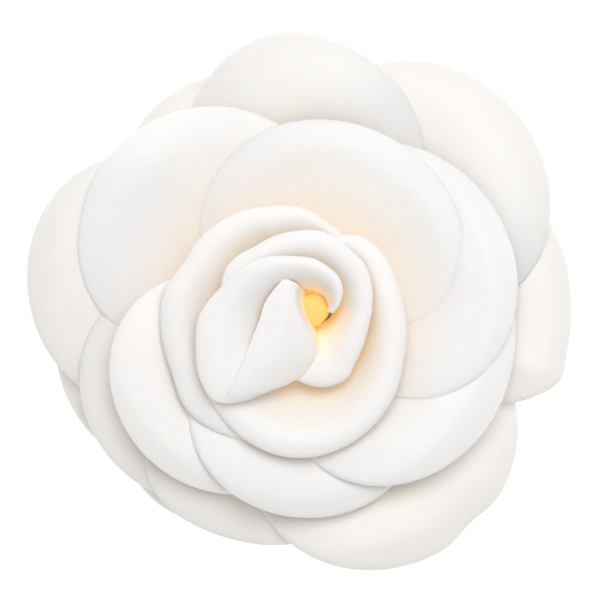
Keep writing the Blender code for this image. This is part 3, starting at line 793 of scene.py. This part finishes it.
def makeDisc(name, node, material, waviness):
    # a disc cut by hand: rings of faces, a slightly wandering edge and rounded corners
    low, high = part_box(node)
    radius = (high.x - low.x) / 2
    thickness = high.z - low.z
    bm = bmesh.new()
    bmesh.ops.create_circle(bm, cap_ends=True, segments=disc["segments"], radius=radius)
    for _ in range(disc["rings"]):
        inside = max(bm.faces, key=lambda f: len(f.verts))
        bmesh.ops.inset_region(bm, faces=[inside], thickness=radius / (disc["rings"] + 1))
    for vert in bm.verts:
        bearing = math.atan2(vert.co.y, vert.co.x)
        reach = vert.co.xy.length / radius
        wander = (math.sin(3 * bearing + 1) + 0.6 * math.sin(7 * bearing)
                  + 0.4 * math.sin(16 * bearing + 2))
        vert.co.xy *= 1 - waviness * reach ** 4 * (1 + wander / 2)
        warp = disc["warp"] * mm * math.sin(2 * bearing + 6 * reach) * reach
        vert.co.z = boxMiddle(node).z + warp
    area = sum(face.calc_area() for face in bm.faces)
    piece = addPiece(name, bm, material, node)
    thick = piece.modifiers.new("thickness", "SOLIDIFY")
    thick.thickness = thickness
    thick.offset = 0.0
    corner = piece.modifiers.new("worn corner", "BEVEL")
    corner.width = disc["cornerShare"] * thickness
    corner.segments = 3


# lobes round the edge of the glue: how many, depth as a share of its reach, and turn
blob = {"share": 0.93, "flatness": 0.8, "lobes": [(3, 0.05, 1), (5, 0.04, 0), (11, 0.025, 2)]}


def makeGlueBlob():
    # hot glue squeezed out between the hub and the base
    low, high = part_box("glue_pad")
    reach, half = (high.x - low.x) / 2, (high.z - low.z) / 2
    bm = bmesh.new()
    bmesh.ops.create_icosphere(bm, subdivisions=5, radius=1.0)
    for vert in bm.verts:
        bearing = math.atan2(vert.co.y, vert.co.x)
        lobes = sum(depth * math.sin(count * bearing + shift) for count, depth, shift in blob["lobes"])
        spread = (1 - abs(vert.co.z) ** 3) ** 0.33 * (blob["share"] + lobes)
        flat = vert.co.xy.normalized() * spread * reach if vert.co.xy.length > 1e-6 else vert.co.xy
        height = math.copysign(abs(vert.co.z) ** blob["flatness"], vert.co.z) * half
        vert.co = (flat.x, flat.y, height + boxMiddle("glue_pad").z)
    addPiece("glue_blob", bm, hotGlue, "glue_pad")


makeHub()
makeGlueBlob()
makeDisc("base_disc_cloth", "base_disc", buckramCloth, 0.006)
makeDisc("felt_back_cloth", "felt_back", whiteFelt, 0.012)
print("backing made")


# ---- clip ----

clip = {"corner": 0.14, "pinX": -8.0, "pinHeight": 5.4, "pinCorner": 0.22, "linerCorner": 0.2,
        "sharpAngle": 35, "smoothAngle": 40, "flatAngle": 1.5}


def copyCad(node, corner, segments=3):
    # the CAD solid with its flat faces joined up and its sharp corners broken
    bm = bmesh.new()
    bm.from_mesh(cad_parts[node].data)
    bmesh.ops.remove_doubles(bm, verts=bm.verts, dist=0.001 * mm)
    bmesh.ops.dissolve_limit(bm, angle_limit=math.radians(clip["flatAngle"]), verts=bm.verts,
                             edges=bm.edges, delimit={"NORMAL"})
    sharpest = math.radians(clip["sharpAngle"])
    sharp = [e for e in bm.edges if e.is_manifold and e.calc_face_angle() > sharpest]
    bmesh.ops.bevel(bm, geom=sharp, offset=corner * mm, offset_type="OFFSET", segments=segments,
                    profile=0.5, affect="EDGES", material=-1, clamp_overlap=True)
    bmesh.ops.recalc_face_normals(bm, faces=bm.faces)
    return bm


def addMetal(node, body, bm):
    piece = addPiece(node + "_steel", bm, clipSteel, node, body)
    piece.data.set_sharp_from_angle(angle=math.radians(clip["smoothAngle"]))


addMetal("clip_upper_arm", "flower", copyCad("clip_upper_arm", clip["corner"]))
addMetal("clip_lower_arm", "lower_jaw", copyCad("clip_lower_arm", clip["corner"]))
addMetal("hinge_pin", "flower", copyCad("hinge_pin", clip["pinCorner"], 4))
linerCopy = copyCad("jaw_liner", clip["linerCorner"])
liner = addPiece("jaw_liner_felt", linerCopy, whiteFelt, "jaw_liner", "lower_jaw")

# wire and coil are radii; the legs end at these places from the pin
spring = {"wire": 0.3, "coil": 1.6, "turns": 3, "leg": 10.0, "pitch": 0.9, "upperRise": 3.4,
          "lowerReach": 9.0, "lowerRise": -0.45, "nudge": 0.001, "endCorner": 0.06}


def makeSpring():
    # upper leg, turns round the pin and lower leg; each leg leaves the coil along its tangent
    upper = (-math.sqrt(spring["leg"] ** 2 - spring["upperRise"] ** 2), spring["upperRise"])
    lower = (-spring["lowerReach"], spring["lowerRise"])

    def tangentAngle(end, side):
        return math.atan2(end[1], end[0]) + side * math.acos(spring["coil"] / math.hypot(*end))

    start = tangentAngle(upper, -1)
    finish = tangentAngle(lower, 1) - 2 * math.pi * (spring["turns"] + 1)
    width = spring["turns"] * spring["pitch"]
    legs = [math.sqrt(end[0] ** 2 + end[1] ** 2 - spring["coil"] ** 2) for end in (upper, lower)]
    coilLength = abs(finish - start) * spring["coil"]
    total = legs[0] + coilLength + legs[1]

    def path(length):
        if length < legs[0]:
            share = 1 - length / legs[0]
            x, z = spring["coil"] * math.cos(start), spring["coil"] * math.sin(start)
            return Vector((x + (upper[0] - x) * share, -width / 2, z + (upper[1] - z) * share))
        if length < legs[0] + coilLength:
            share = (length - legs[0]) / coilLength
            angle = start + (finish - start) * share
            return Vector((spring["coil"] * math.cos(angle), width * (share - 0.5),
                           spring["coil"] * math.sin(angle)))
        share = (length - legs[0] - coilLength) / legs[1]
        x, z = spring["coil"] * math.cos(finish), spring["coil"] * math.sin(finish)
        return Vector((x + (lower[0] - x) * share, width / 2, z + (lower[1] - z) * share))

    def surface(across, along):
        length = total * (2 / math.pi) * math.asin(along)
        length = min(max(length, spring["nudge"]), total - spring["nudge"])
        middle = path(length)
        forward = (path(length + spring["nudge"]) - path(length - spring["nudge"])).normalized()
        side = forward.cross(Vector((0, 1, 0))).normalized()
        other = forward.cross(side)
        turn = across * math.pi
        point = middle + spring["wire"] * (math.cos(turn) * side + math.sin(turn) * other)
        return (point.x + clip["pinX"], point.y, point.z + clip["pinHeight"]), 0.0

    bm = clothGrid(surface, 12, 240, 0)[0]
    ends = closeEnds(bm, 0.001 * mm)
    bmesh.ops.inset_region(bm, faces=ends, thickness=spring["endCorner"] * mm)
    bmesh.ops.recalc_face_normals(bm, faces=bm.faces)
    piece = addPiece("torsion_spring_wire", bm, springSteel, "torsion_spring", None)
    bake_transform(piece)


makeSpring()
print("clip made")


# ---- stage, lights and camera ----

studio = {"floor": (0.93, 0.93, 0.93, 1), "floorGlow": 0.45, "floorSize": 1.5, "floorGap": 0.2 * mm,
          "sky": (1.0, 0.972, 0.932, 1), "skyStrength": 0.59}


def makeStage():
    made, tree, shader = newMaterial("paleFloor", 0.9)
    shader.inputs["Base Color"].default_value = studio["floor"]
    shader.inputs["Emission Color"].default_value = (1, 1, 1, 1)
    shader.inputs["Emission Strength"].default_value = studio["floorGlow"]
    bm = bmesh.new()
    bmesh.ops.create_grid(bm, x_segments=2, y_segments=2, size=studio["floorSize"])
    mesh = bpy.data.meshes.new("floor")
    bm.to_mesh(mesh)
    bm.free()
    mesh.transform(Matrix.Translation((0, 0, -studio["floorGap"])))
    mesh.materials.append(made)
    floor = bpy.data.objects.new("floor", mesh)
    bpy.context.scene.collection.objects.link(floor)


def addLight(name, place, size, power, colour):
    lamp = bpy.data.lights.new(name, "AREA")
    lamp.shape = "DISK"
    lamp.size = size
    lamp.energy = power
    lamp.color = colour
    light = bpy.data.objects.new(name, lamp)
    light.location = place
    light.rotation_euler = (-Vector(place)).to_track_quat("-Z", "Y").to_euler()
    bpy.context.scene.collection.objects.link(light)


def makeCamera(width=0.1117, lens=150.0, centre=(0.0, 0.93 * mm), rimHeight=30 * mm):
    data = bpy.data.cameras.new("camera")
    data.lens = lens
    data.sensor_width = 36.0
    camera = bpy.data.objects.new("camera", data)
    camera.location = (*centre, rimHeight + width * lens / data.sensor_width)
    data.clip_start = 0.01
    bpy.context.scene.collection.objects.link(camera)
    bpy.context.scene.camera = camera


makeStage()
world = bpy.data.worlds.new("studio")
world.use_nodes = True
background = world.node_tree.nodes["Background"]
background.inputs["Color"].default_value = studio["sky"]
background.inputs["Strength"].default_value = studio["skyStrength"]
bpy.context.scene.world = world
addLight("front softbox", (0.10, 0.38, 1.05), 0.8, 6.5, (0.985, 0.99, 1.0))
bpy.context.scene.view_settings.view_transform = "Standard"
makeCamera()
